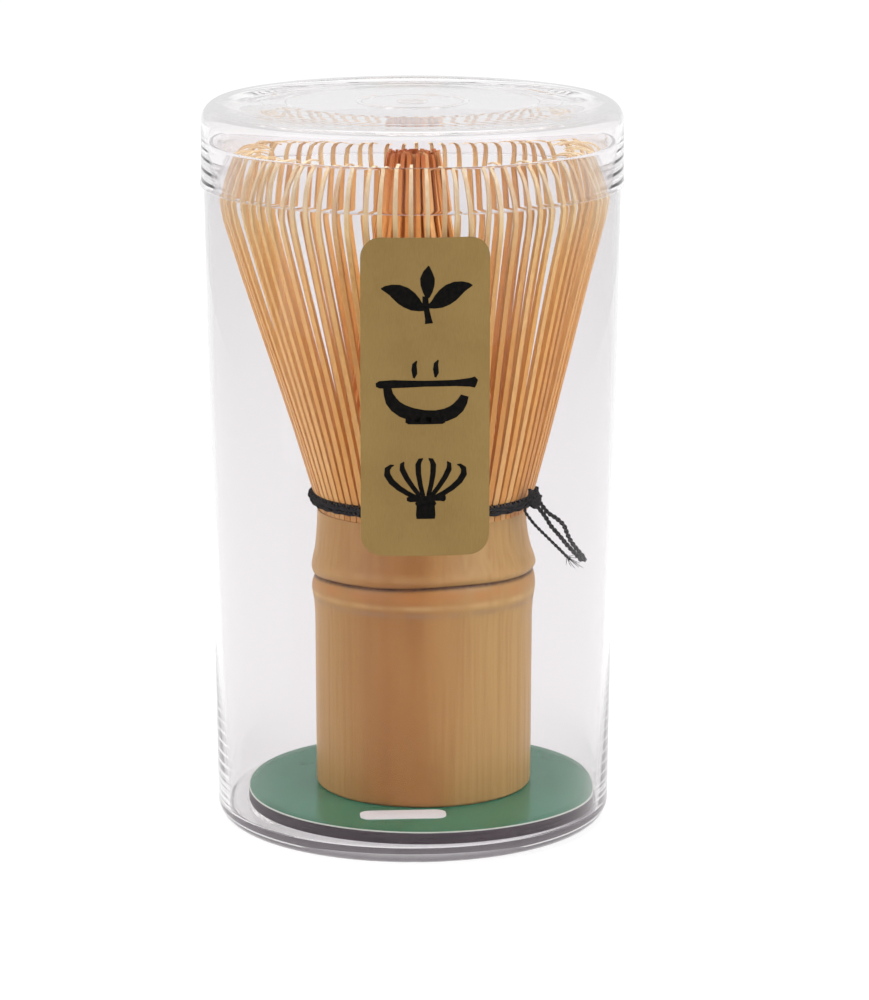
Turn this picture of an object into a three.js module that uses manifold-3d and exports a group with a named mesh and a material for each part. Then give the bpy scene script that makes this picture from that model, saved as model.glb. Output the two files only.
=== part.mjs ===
// A bamboo tea whisk standing on a round card in its clear storage case.
// Millimetres, +Z up. The origin is the middle of the case's foot, and the label faces -Y.
import * as THREE from 'three';
import { mergeVertices } from 'three/addons/utils/BufferGeometryUtils.js';
import Module from 'manifold-3d';

const wasm = await Module();
wasm.setup();

const CIRCLE_STEPS = 48; // steps round the case
const WHISK_STEPS = 32; // steps round the culm and the thread

const TUB = {
  radius: 32.59, // outside, at the foot, before the draft
  draft: 0.014, // how much wider the outside gets per millimetre of height
  wall: 1.1,
  corner: 3.4, // rounding of the bottom edge
  footWidth: 1.3, // flat ring that the case stands on
  floorBottom: 1.7,
  floorTop: 2.9,
  floorFillet: 0.6,
  shoulder: 106.6, // ledge that the lid's skirt rests on
  neckOuter: 33.45,
  neckInner: 32.5,
  neckLead: 1.2,
  rim: 113.8,
};

const LID = {
  radius: 34.5,
  wall: 0.87,
  roof: 1.1,
  top: 120.4,
  corner: 3.2,
  ringInner: 21,
  ringOuter: 24.8,
  ringDepth: 0.4, // raised ring under the roof
};

const LABEL = { width: 20.7, bottom: 51.8, top: 103, corner: 3.3, thickness: 0.15, standOff: 0.06 };

const CARD = { radius: 29.3, x: 1.5, y: -0.1, board: 1.9, facing: 0.2 };

const WHISK = { x: 1.86, y: 1.45 };
const WHISK_BASE = TUB.floorTop + CARD.board + CARD.facing;

const CULM = {
  radius: 18,
  foot: 0.4, // eased bottom edge
  bore: 12.6,
  chamber: 13.3, // radius of the hollow above the septum
  septumBottom: 37.4,
  septumTop: 41.4,
  lowerRidge: [18.5, 39.3],
  groove: [18.05, 41.9],
  upperRidge: [18.56, 43.7],
  waist: [17.75, 46.7],
  neck: [17.2, 51.6],
  top: 53,
};

const STAVES = 16;
const TINES_PER_STAVE = 5;
const TINE = { width: 0.95, rootThickness: 1, tipThickness: 0.45, stations: 7 };
// Middle line of an outer tine, as radius and height. It starts inside the root of its stave and
// ends in the inward curl.
const OUTER_LINE = [
  [16.6, 53.3], [18.5, 57.4], [24.9, 80.7], [30.6, 101.6],
  [31.3, 106.4], [30, 110.7], [27.8, 112.3], [25.8, 111.3],
];
const STAVE_ROOT = { inner: 16.05, outer: 17.35, height: 0.6, gap: 0.3 };

// Middle line of an inner stave, which leans in to the bundle in the middle.
const INNER_LINE = [[14.4, 53], [13.6, 60], [10.8, 76], [7.9, 90], [5.4, 103], [4.2, 112.4]];
const INNER = { rootThickness: 0.8, tipThickness: 0.5, stations: 5, fill: 0.9 };

// The wall of the case pushes the head of the whisk back towards the middle.
const LEAN = { from: 56, to: 106, x: -1.6, y: -1.25 };

const THREAD = {
  radius: 0.46,
  turns: [['thread_turn_lower', 18.5, 54.6], ['thread_turn_upper', 18.95, 55.65], ['thread_turn_inner', 16, 56.8]],
  turnSides: 5,
};
const KNOT = { angle: -33, distance: 20.6, height: 56.2, radius: 0.8 };
const LOOSE_THREAD = { loopRadius: 0.33, tailRadius: 0.3, sides: 8, step: 1.9 };
// The doubled end of the thread, out from the knot and back to it, with an eye half way down.
const LOOP_ROUTE = [
  [20.5, -10.3, 55.2], [21.4, -10.4, 53.9], [22.8, -10.6, 52.9], [23.9, -10.85, 51.8],
  [24.45, -11, 50.4], [25.1, -11.2, 49], [26.2, -11.45, 47.5], [27.3, -11.65, 46.3],
  [27.5, -11.7, 45.5], [27, -11.65, 45.2], [26.2, -11.5, 46], [24.5, -11.2, 48],
  [23.1, -10.9, 49.8], [21.8, -10.6, 51.4], [20.9, -10.4, 52.9], [20, -10.3, 54.3],
];
// The single, thinner end.
const TAIL_ROUTE = [
  [17.6, -11.1, 54.2], [18.4, -11.3, 53], [19.4, -11.5, 51.85], [21, -11.7, 50.2],
  [22.25, -11.9, 48.9], [23.5, -12.1, 47.6], [24.9, -12.3, 46.1],
];

const FINISH = {
  clear: { color: 0xeef0f2, roughness: 0.06, metalness: 0, transparent: true, opacity: 0.25 },
  gold: { color: 0x9c8049, roughness: 0.38, metalness: 0.6 },
  green: { color: 0x4b8a58, roughness: 0.2, metalness: 0 },
  board: { color: 0x5a4f55, roughness: 0.85, metalness: 0 },
  bamboo: { color: 0xb08354, roughness: 0.5, metalness: 0 },
  tines: { color: 0xc99157, roughness: 0.55, metalness: 0 },
  innerTines: { color: 0xb9763f, roughness: 0.6, metalness: 0 },
  thread: { color: 0x1f191c, roughness: 0.8, metalness: 0 },
};

function tubRadius(z) {
  return TUB.radius + TUB.draft * z;
}

function material(finish) {
  return new THREE.MeshStandardMaterial(finish);
}

function piece(name, geometry, finish) {
  const mesh = new THREE.Mesh(geometry, material(finish));
  mesh.name = name;
  return mesh;
}

// Points of an arc in the profile plane, from one angle to another in degrees, both ends included.
function arc(centreX, centreY, radius, fromDegrees, toDegrees, steps) {
  return Array.from({ length: steps + 1 }, (_, i) => {
    const angle = THREE.MathUtils.degToRad(fromDegrees + ((toDegrees - fromDegrees) * i) / steps);
    return [centreX + radius * Math.cos(angle), centreY + radius * Math.sin(angle)];
  });
}

// Turns a profile of [radius, height] points about Z.
function turned(profile, steps = CIRCLE_STEPS) {
  const points = profile.map(([r, z]) => new THREE.Vector2(r, z));
  return new THREE.LatheGeometry(points, steps).rotateX(Math.PI / 2);
}

function solid(geometry) {
  const bare = geometry.clone();
  bare.deleteAttribute('normal');
  bare.deleteAttribute('uv');
  const merged = mergeVertices(bare, 1e-5);
  const corners = Array.from(merged.index.array);
  const triVerts = [];
  for (let i = 0; i < corners.length; i += 3) {
    const [a, b, c] = corners.slice(i, i + 3);
    if (a !== b && b !== c && c !== a) triVerts.push(a, b, c);
  }
  return new wasm.Manifold(new wasm.Mesh({
    numProp: 3,
    vertProperties: new Float32Array(merged.attributes.position.array),
    triVerts: new Uint32Array(triVerts),
  }));
}

function geometryOf(manifold) {
  const mesh = manifold.getMesh();
  const geometry = new THREE.BufferGeometry();
  geometry.setAttribute('position', new THREE.BufferAttribute(new Float32Array(mesh.vertProperties), 3));
  geometry.setIndex(new THREE.BufferAttribute(new Uint32Array(mesh.triVerts), 1));
  geometry.computeVertexNormals();
  return geometry;
}

function union(geometries) {
  return geometryOf(geometries.map(solid).reduce((whole, next) => whole.add(next)));
}

// Moves each vertex of a geometry to the place that a function of its coordinates gives.
function reshaped(geometry, place) {
  const position = geometry.attributes.position;
  for (let i = 0; i < position.count; i += 1) {
    position.setXYZ(i, ...place(position.getX(i), position.getY(i), position.getZ(i)));
  }
  geometry.computeVertexNormals();
  return geometry;
}

function leaned(geometry) {
  return reshaped(geometry, (x, y, z) => {
    const share = THREE.MathUtils.smoothstep(z, LEAN.from, LEAN.to);
    return [x + LEAN.x * share, y + LEAN.y * share, z];
  });
}

function tub() {
  const cornerX = tubRadius(TUB.corner) - TUB.corner;
  const insideBottom = tubRadius(TUB.floorTop) - TUB.wall;
  const profile = [
    [0, TUB.floorBottom],
    [cornerX - TUB.footWidth - TUB.floorBottom / 2, TUB.floorBottom],
    [cornerX - TUB.footWidth, 0],
    ...arc(cornerX, TUB.corner, TUB.corner, -90, 0, 3),
    [tubRadius(TUB.shoulder), TUB.shoulder],
    [TUB.neckOuter, TUB.shoulder],
    [TUB.neckOuter, TUB.rim],
    [TUB.neckInner, TUB.rim],
    [TUB.neckInner, TUB.shoulder - TUB.neckLead],
    [tubRadius(TUB.shoulder) - TUB.wall, TUB.shoulder - 2 * TUB.neckLead],
    [insideBottom, TUB.floorTop + TUB.floorFillet],
    [insideBottom - TUB.floorFillet, TUB.floorTop],
    [0, TUB.floorTop],
  ];
  return piece('case_tub', turned(profile), FINISH.clear);
}

function lid() {
  const inner = LID.radius - LID.wall;
  const underside = LID.top - LID.roof;
  const innerCorner = LID.corner - LID.wall;
  const profile = [
    [0, underside],
    [LID.ringInner, underside],
    [LID.ringInner + LID.ringDepth, underside - LID.ringDepth],
    [LID.ringOuter - LID.ringDepth, underside - LID.ringDepth],
    [LID.ringOuter, underside],
    ...arc(inner - innerCorner, underside - innerCorner, innerCorner, 90, 0, 2),
    [inner, TUB.shoulder],
    [LID.radius, TUB.shoulder],
    ...arc(LID.radius - LID.corner, LID.top - LID.corner, LID.corner, 0, 90, 3),
    [0, LID.top],
  ];
  return piece('case_lid', turned(profile), FINISH.clear);
}

function label() {
  const [low, high] = [LABEL.bottom - 1, LABEL.top + 1];
  const skin = (z, depth) => [tubRadius(z) + LABEL.standOff + depth, z];
  const shell = turned(
    [skin(low, 0), skin(low, LABEL.thickness), skin(high, LABEL.thickness), skin(high, 0), skin(low, 0)],
    2 * CIRCLE_STEPS,
  );
  const half = { x: LABEL.width / 2 - LABEL.corner, z: (LABEL.top - LABEL.bottom) / 2 - LABEL.corner };
  const outline = new THREE.Shape();
  [[1, 1, 0], [-1, 1, 90], [-1, -1, 180], [1, -1, 270]].forEach(([sideX, sideZ, from]) => {
    arc(sideX * half.x, sideZ * half.z, LABEL.corner, from, from + 90, 4).forEach(([x, z], i) => {
      if (sideX + sideZ === 2 && i === 0) outline.moveTo(x, z);
      else outline.lineTo(x, z);
    });
  });
  const stamp = new THREE.ExtrudeGeometry(outline, { depth: 2 * TUB.radius, bevelEnabled: false });
  stamp.rotateX(Math.PI / 2).translate(0, 0, (LABEL.top + LABEL.bottom) / 2);
  return piece('label', geometryOf(solid(shell).intersect(solid(stamp))), FINISH.gold);
}

function cardPieces() {
  const disc = (name, bottom, thickness, finish) => {
    const profile = [[0, bottom], [CARD.radius, bottom], [CARD.radius, bottom + thickness], [0, bottom + thickness]];
    const mesh = piece(name, turned(profile), finish);
    mesh.position.set(CARD.x, CARD.y, 0);
    return mesh;
  };
  return [
    disc('card_board', TUB.floorTop, CARD.board, FINISH.board),
    disc('card_facing', TUB.floorTop + CARD.board, CARD.facing, FINISH.green),
  ];
}

function culm() {
  const profile = [
    [0, CULM.septumBottom],
    [CULM.bore, CULM.septumBottom],
    [CULM.bore, WHISK_BASE],
    [CULM.radius - CULM.foot, WHISK_BASE],
    [CULM.radius, WHISK_BASE + CULM.foot],
    [CULM.radius, CULM.septumBottom - 1],
    CULM.lowerRidge,
    CULM.groove,
    CULM.upperRidge,
    CULM.waist,
    CULM.neck,
    [CULM.neck[0] + 0.15, CULM.top],
    [CULM.chamber, CULM.top],
    [CULM.chamber, CULM.septumTop],
    [0, CULM.septumTop],
  ];
  return piece('bamboo_culm', turned(profile, WHISK_STEPS), FINISH.bamboo);
}

// A strip in the XZ plane along a line of [radius, height] points. It gets thinner towards its tip,
// and its width lies along Y.
function strip(line, width, rootThickness, tipThickness, stations) {
  const curve = new THREE.CatmullRomCurve3(line.map(([r, z]) => new THREE.Vector3(r, 0, z)));
  const [outside, inside] = [[], []];
  for (let i = 0; i <= stations; i += 1) {
    const t = i / stations;
    const middle = curve.getPoint(t);
    const along = curve.getTangent(t);
    const half = THREE.MathUtils.lerp(rootThickness, tipThickness, t) / 2;
    const rise = i ? along.x * half : 0; // the root is cut level
    outside.push(new THREE.Vector2(middle.x + along.z * half, middle.z - rise));
    inside.unshift(new THREE.Vector2(middle.x - along.z * half, middle.z + rise));
  }
  const outline = new THREE.Shape([...outside, ...inside]);
  const geometry = new THREE.ExtrudeGeometry(outline, { depth: width, bevelEnabled: false });
  return geometry.rotateX(Math.PI / 2).translate(0, width / 2, 0);
}

function staveAngle(stave) {
  return (2 * Math.PI * stave) / STAVES;
}

function staveRoot() {
  const halfAngle = Math.PI / STAVES - STAVE_ROOT.gap / 2 / STAVE_ROOT.inner;
  const outline = new THREE.Shape();
  outline.absarc(0, 0, STAVE_ROOT.outer, -halfAngle, halfAngle, false);
  outline.absarc(0, 0, STAVE_ROOT.inner, halfAngle, -halfAngle, true);
  const options = { depth: STAVE_ROOT.height, bevelEnabled: false, curveSegments: 2 };
  return new THREE.ExtrudeGeometry(outline, options).translate(0, 0, CULM.top);
}

function outerStave(stave) {
  const parts = [staveRoot()];
  for (let i = 0; i < TINES_PER_STAVE; i += 1) {
    const offset = (i - (TINES_PER_STAVE - 1) / 2) / TINES_PER_STAVE;
    const tine = strip(OUTER_LINE, TINE.width, TINE.rootThickness, TINE.tipThickness, TINE.stations);
    parts.push(tine.rotateZ(offset * staveAngle(1)));
  }
  const geometry = leaned(union(parts).rotateZ(staveAngle(stave)));
  return piece(`outer_tines_${String(stave + 1).padStart(2, '0')}`, geometry, FINISH.tines);
}

function innerStave(stave) {
  const flat = strip(INNER_LINE, 1, INNER.rootThickness, INNER.tipThickness, INNER.stations);
  const thickness = INNER.rootThickness;
  const fitted = reshaped(flat, (x, y, z) => {
    const room = 2 * (x - thickness) * Math.tan(Math.PI / STAVES);
    return [x, y * room * INNER.fill, z];
  });
  const geometry = leaned(fitted.rotateZ(staveAngle(stave + 0.5)));
  return piece(`inner_tines_${String(stave + 1).padStart(2, '0')}`, geometry, FINISH.innerTines);
}

function threadTurn([name, distance, height]) {
  const section = arc(distance, height, THREAD.radius, 0, 360, THREAD.turnSides);
  return piece(name, turned(section, WHISK_STEPS), FINISH.thread);
}

function knot() {
  const angle = THREE.MathUtils.degToRad(KNOT.angle);
  const geometry = new THREE.SphereGeometry(KNOT.radius, 10, 8).scale(1, 1.25, 1.15).rotateZ(angle);
  geometry.translate(KNOT.distance * Math.cos(angle), KNOT.distance * Math.sin(angle), KNOT.height);
  return piece('thread_knot', geometry, FINISH.thread);
}

function looseThread(name, route, radius) {
  const path = new THREE.CatmullRomCurve3(route.map((point) => new THREE.Vector3(...point)));
  const section = new THREE.Shape(
    arc(0, 0, radius, 0, 360, LOOSE_THREAD.sides).slice(1).map(([x, y]) => new THREE.Vector2(x, y)),
  );
  const steps = Math.round(path.getLength() / LOOSE_THREAD.step);
  const geometry = new THREE.ExtrudeGeometry(section, { steps, extrudePath: path, bevelEnabled: false });
  return piece(name, geometry, FINISH.thread);
}

function whisk() {
  const group = new THREE.Group();
  group.position.set(WHISK.x, WHISK.y, 0);
  group.add(culm());
  for (let stave = 0; stave < STAVES; stave += 1) group.add(outerStave(stave), innerStave(stave));
  group.add(...THREAD.turns.map(threadTurn), knot());
  return group;
}

const part = new THREE.Group();
part.add(tub(), label(), ...cardPieces(), whisk());
part.add(looseThread('thread_loop', LOOP_ROUTE, LOOSE_THREAD.loopRadius));
part.add(looseThread('thread_tail', TAIL_ROUTE, LOOSE_THREAD.tailRadius));
part.add(lid());

export default part;
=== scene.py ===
"""A bamboo tea whisk that stands on a round card inside its clear storage case.

Metres, +Z up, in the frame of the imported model: the origin is the middle of the case's foot, and the label
faces -Y. The case carries the card, the card carries the whisk, and the lid comes off upwards.
"""

import logging
import math
import random
from collections.abc import Callable, Sequence
from dataclasses import dataclass, field
from enum import Enum

import bpy
from mathutils import Matrix, Vector


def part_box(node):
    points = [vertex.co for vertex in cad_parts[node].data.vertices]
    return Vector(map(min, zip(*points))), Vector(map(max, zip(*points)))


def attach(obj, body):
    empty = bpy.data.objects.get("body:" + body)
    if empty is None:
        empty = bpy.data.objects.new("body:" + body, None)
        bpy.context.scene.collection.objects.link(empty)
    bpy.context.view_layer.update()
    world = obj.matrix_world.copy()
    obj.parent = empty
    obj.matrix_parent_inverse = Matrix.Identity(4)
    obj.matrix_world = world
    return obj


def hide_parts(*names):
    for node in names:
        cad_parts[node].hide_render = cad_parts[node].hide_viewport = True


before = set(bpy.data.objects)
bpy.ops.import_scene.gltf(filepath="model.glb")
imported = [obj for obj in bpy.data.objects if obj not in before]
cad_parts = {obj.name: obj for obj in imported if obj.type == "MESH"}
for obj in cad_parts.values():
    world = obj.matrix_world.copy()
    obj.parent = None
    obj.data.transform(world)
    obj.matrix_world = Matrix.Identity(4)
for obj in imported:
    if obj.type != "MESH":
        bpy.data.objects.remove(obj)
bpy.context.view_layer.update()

log = logging.getLogger("tea_whisk")

Piece = bpy.types.Object
Socket = bpy.types.NodeSocket
Material = bpy.types.Material
Colour = tuple[float, float, float, float]
Pair = tuple[float, float]
Triple = tuple[float, float, float]
Ring = tuple[float, float]  # radius and height
Rounding = tuple[Ring, float, int]  # ring, reach along each face and steps across

MM = 0.001


class Body(Enum):
    """The parts that move on their own."""

    CASE = "case"
    CARD = "card"
    WHISK = "whisk"
    LID = "lid"


class Slot(Enum):
    """The record's material slots."""

    CLEAR = "clear"
    GOLD = "gold"
    GREEN = "green"
    BOARD = "board"
    BAMBOO = "bamboo"
    TINES = "tines"
    INNER_TINES = "inner_tines"
    THREAD = "thread"


class Row(Enum):
    """The two rows of tines that the wall of the culm is split into."""

    OUTER = "outer"
    INNER = "inner"


# ---------------------------------------------------------------- modelling


def deselect() -> None:
    """Leaves edit mode and deselects every object."""
    if bpy.context.object and bpy.context.object.mode != "OBJECT":
        bpy.ops.object.mode_set(mode="OBJECT")
    bpy.ops.object.select_all(action="DESELECT")


def hold(obj: Piece) -> None:
    """Makes one object the only selected one, and the active one."""
    deselect()
    obj.select_set(True)
    bpy.context.view_layer.objects.active = obj


def edit_all() -> None:
    """Enters edit mode on the active object, with all of it selected."""
    bpy.ops.object.mode_set(mode="EDIT")
    bpy.ops.mesh.select_all(action="SELECT")


def face_out() -> None:
    """Turns the faces of the object in edit mode outwards, and leaves edit mode."""
    bpy.ops.mesh.select_all(action="SELECT")
    bpy.ops.mesh.normals_make_consistent(inside=False)
    bpy.ops.object.mode_set(mode="OBJECT")


def rename(obj: Piece, name: str) -> Piece:
    """Gives an object and its mesh one name, and hands the object back."""
    obj.name = obj.data.name = name
    return obj


def smoothstep(value: float, low: float, high: float) -> float:
    """Gives the share of a smooth rise from 0 at the low value to 1 at the high one."""
    share = min(1.0, max(0.0, (value - low) / (high - low)))
    return share * share * (3 - 2 * share)


def middle(node: str) -> Vector:
    """Gives the middle of a CAD node's box, at the height of its foot."""
    low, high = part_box(node)
    return Vector(((low.x + high.x) / 2, (low.y + high.y) / 2, low.z))


def turn(
    name: str, axis: Vector, rings: Sequence[Ring], steps: int, roundings: Sequence[Rounding] = ()
) -> Piece:
    """Makes a closed turned solid by extruding a disc from ring to ring, and rounds some of its rings.

    Args:
        name: Name of the new object.
        axis: A point on the vertical axis.
        rings: The rings, from the middle of one end face to the middle of the other.
        steps: Number of steps round the axis.
        roundings: The rings to round.

    Returns:
        The new object, at the origin.
    """
    deselect()
    (radius, height), *rest = rings
    foot = (axis.x, axis.y, height)
    bpy.ops.mesh.primitive_circle_add(vertices=steps, radius=radius, fill_type="NGON", location=foot)
    obj = rename(bpy.context.active_object, name)
    edit_all()
    for next_radius, next_height in rest:
        bpy.ops.mesh.extrude_region_move(TRANSFORM_OT_translate={"value": (0, 0, next_height - height)})
        share = next_radius / radius
        bpy.ops.transform.resize(value=(share, share, 1), center_override=(axis.x, axis.y, next_height))
        radius, height = next_radius, next_height
    face_out()
    settle(obj)
    for rounding in roundings:
        round_ring(obj, axis, *rounding)
    return obj


def settle(obj: Piece) -> None:
    """Moves an object's place into its mesh, so that it stands at the origin, unturned and unscaled."""
    hold(obj)
    bpy.ops.object.transform_apply(location=True, rotation=True, scale=True)


def pick(obj: Piece, wanted: Callable[[Vector], bool]) -> None:
    """Selects the vertices in some place, and the edges and faces between them, and enters edit mode.

    Args:
        obj: The object to work on.
        wanted: Says of a vertex's place whether it is wanted.
    """
    hold(obj)
    mesh = obj.data
    chosen = [wanted(vertex.co) for vertex in mesh.vertices]
    mesh.vertices.foreach_set("select", chosen)
    mesh.edges.foreach_set("select", [all(chosen[i] for i in edge.vertices) for edge in mesh.edges])
    mesh.polygons.foreach_set("select", [all(chosen[i] for i in face.vertices) for face in mesh.polygons])
    bpy.ops.object.mode_set(mode="EDIT")


def round_ring(obj: Piece, axis: Vector, ring: Ring, size: float, segments: int) -> None:
    """Rounds one ring of edges of a turned solid.

    Args:
        obj: The turned solid.
        axis: A point on its axis.
        ring: Radius and height of the ring.
        size: How far the rounding reaches along each face.
        segments: Number of steps across the rounding.
    """

    def on_ring(place: Vector) -> bool:
        """Says whether a vertex is on the ring."""
        radius = math.hypot(place.x - axis.x, place.y - axis.y)
        return abs(radius - ring[0]) < 2e-5 and abs(place.z - ring[1]) < 2e-5

    pick(obj, on_ring)
    bpy.ops.mesh.bevel(offset=size, segments=segments, profile=0.5, affect="EDGES", clamp_overlap=False)
    bpy.ops.object.mode_set(mode="OBJECT")


def smooth(obj: Piece, degrees: float = 32.0) -> None:
    """Shades an object smooth, apart from edges that are sharper than the angle."""
    hold(obj)
    bpy.ops.object.shade_smooth_by_angle(angle=math.radians(degrees))


def reshape(obj: Piece, place: Callable[[Vector], Vector]) -> None:
    """Moves each vertex of a mesh to the new place that it is given for its old one."""
    for vertex in obj.data.vertices:
        vertex.co = place(vertex.co)
    obj.data.update()


def apply_modifier(obj: Piece, kind: str, **settings: object) -> None:
    """Adds a modifier, sets it and applies it.

    Args:
        obj: The object.
        kind: The modifier's type.
        **settings: Its settings.
    """
    hold(obj)
    modifier = obj.modifiers.new(kind.title(), kind)
    for name, value in settings.items():
        setattr(modifier, name, value)
    bpy.ops.object.modifier_apply(modifier=modifier.name)


def copy_of(obj: Piece, name: str) -> Piece:
    """Copies an object with a mesh of its own.

    Args:
        obj: The object to copy.
        name: Name of the copy.

    Returns:
        The copy.
    """
    copy = obj.copy()
    copy.data = obj.data.copy()
    bpy.context.collection.objects.link(copy)
    return rename(copy, name)


def join(name: str, objects: Sequence[Piece]) -> Piece:
    """Joins objects into one.

    Args:
        name: Name of the joined object.
        objects: The objects, which are used up.

    Returns:
        The joined object.
    """
    deselect()
    for obj in objects:
        obj.select_set(True)
    bpy.context.view_layer.objects.active = objects[0]
    bpy.ops.object.join()
    return rename(bpy.context.active_object, name)


def rounded_sheet(name: str, place: Triple, size: Pair, upright: bool, rounding: float, rim: float) -> Piece:
    """Cuts a flat sheet with rounded corners, and draws a narrow rim inside its edge.

    Args:
        name: Name of the new object.
        place: Its middle.
        size: Its length and width.
        upright: Whether it stands in the XZ plane.
        rounding: Radius of its corners.
        rim: Width of the rim.

    Returns:
        The sheet, in edit mode, with the part inside the rim selected.
    """
    deselect()
    rotation = (math.pi / 2 if upright else 0, 0, 0)
    bpy.ops.mesh.primitive_plane_add(size=1, location=place, rotation=rotation)
    sheet = rename(bpy.context.active_object, name)
    sheet.scale = (*size, 1)
    settle(sheet)
    pick(sheet, lambda corner: True)
    bpy.ops.mesh.bevel(offset=rounding, segments=8 if upright else 6, profile=0.5, affect="VERTICES")
    bpy.ops.mesh.select_all(action="SELECT")
    bpy.ops.mesh.inset(thickness=rim, depth=0)
    return sheet


@dataclass(frozen=True)
class Reach:
    """One stretch of a strip that is drawn out step by step."""

    length: float
    turn: float = 0.0  # degrees, positive away from the axis
    steps: int = 1
    width: float = 0.0  # at the end of the stretch
    thickness: float = 0.0


@dataclass
class Strip:
    """A strip with a rectangular section, drawn out in the XZ plane from its root upwards."""

    radius: float
    height: float
    width: float
    thickness: float
    reaches: Sequence[Reach]

    def build(self, name: str) -> Piece:
        """Draws the strip out from a small plane, face by face.

        Args:
            name: Name of the new object.

        Returns:
            The new object, with its width along Y.
        """
        deselect()
        place = Vector((self.radius, 0, self.height))
        bpy.ops.mesh.primitive_plane_add(size=1, location=place)
        obj = rename(bpy.context.active_object, name)
        edit_all()
        bpy.ops.transform.resize(value=(self.thickness, self.width, 1), center_override=place)
        width, thickness, heading = self.width, self.thickness, 0.0
        for reach in self.reaches:
            step_turn = math.radians(reach.turn) / reach.steps
            wider = (reach.width / width) ** (1 / reach.steps)
            thicker = (reach.thickness / thickness) ** (1 / reach.steps)
            for _ in range(reach.steps):
                heading += step_turn / 2
                stride = Vector((math.sin(heading), 0, math.cos(heading))) * reach.length / reach.steps
                heading += step_turn / 2
                bpy.ops.mesh.extrude_region_move(TRANSFORM_OT_translate={"value": stride})
                place = place + stride
                bpy.ops.transform.rotate(value=-step_turn, orient_axis="Y", center_override=place)
                bpy.ops.transform.resize(value=(thicker, wider, thicker), center_override=place)
            width, thickness = reach.width, reach.thickness
        face_out()
        settle(obj)
        return obj


@dataclass
class Yarn:
    """A thread of several plies twisted together."""

    radius: float
    plies: int = 2
    pitch: float = 0.0016  # length of one full twist of the plies

    @staticmethod
    def line(name: str, places: Sequence[Vector], closed: bool) -> Piece:
        """Draws a line of straight steps.

        Args:
            name: Its name.
            places: Its points.
            closed: Whether the last point joins the first.

        Returns:
            The line as a curve.
        """
        spline = (data := bpy.data.curves.new(name, "CURVE")).splines.new("POLY")
        spline.points.add(len(places) - 1)
        spline.use_cyclic_u = closed
        for point, place in zip(spline.points, places):
            point.co = (*place, 1)
        obj = bpy.data.objects.new(name, data)
        bpy.context.collection.objects.link(obj)
        return obj

    def section(self) -> Piece:
        """Draws the outline of the thread's cut end.

        Returns:
            A closed flat curve.
        """
        count = 6 * self.plies
        angles = [2 * math.pi * i / count for i in range(count)]
        bulges = [self.radius * (0.8 + 0.2 * math.cos(self.plies * angle)) for angle in angles]
        places = [Vector((b * math.cos(a), b * math.sin(a), 0)) for a, b in zip(angles, bulges)]
        outline = self.line("thread_section", places, True)
        outline.data.dimensions = "2D"
        return outline

    def lay(self, name: str, route: Sequence[Vector], closed: bool = False) -> Piece:
        """Lays the thread along a route.

        Args:
            name: Name of the new object.
            route: The points that it follows, close together.
            closed: Whether the last point joins the first.

        Returns:
            The thread as a mesh.
        """
        section = self.section()
        obj = self.line(name, route, closed)
        line = obj.data
        line.dimensions = "3D"
        line.twist_mode = "Z_UP" if closed else "MINIMUM"
        line.bevel_mode = "OBJECT"
        line.bevel_object = section
        line.use_fill_caps = not closed
        lengths = [(b - a).length for a, b in zip(route, [*route[1:], route[0]])]
        total = sum(lengths) if closed else sum(lengths[:-1])
        full_twists = max(1, round(total / self.pitch))
        travelled = 0.0
        for point, length in zip(line.splines[0].points, lengths):
            point.tilt = 2 * math.pi * full_twists * travelled / total
            travelled += length
        hold(obj)
        bpy.ops.object.convert(target="MESH")
        obj = rename(bpy.context.active_object, name)
        bpy.data.objects.remove(section)
        edit_all()
        bpy.ops.mesh.remove_doubles(threshold=1e-6)
        face_out()
        smooth(obj, 60)
        return obj


def curve_through(points: Sequence[Vector], step: float) -> list[Vector]:
    """Finds a smooth line through some points.

    Args:
        points: The points.
        step: How far apart the line's own points are, about.

    Returns:
        The line's points.
    """
    ends = [2 * points[0] - points[1], *points, 2 * points[-1] - points[-2]]
    line: list[Vector] = []
    for a, b, c, d in zip(ends, ends[1:], ends[2:], ends[3:]):
        count = max(1, round((c - b).length / step))
        for i in range(count):
            t = i / count
            line.append(
                0.5 * (2 * b + (c - a) * t + (2 * a - 5 * b + 4 * c - d) * t**2 + (3 * b - a - 3 * c + d) * t**3)
            )
    return [*line, points[-1].copy()]


# ---------------------------------------------------------------- finishes


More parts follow.
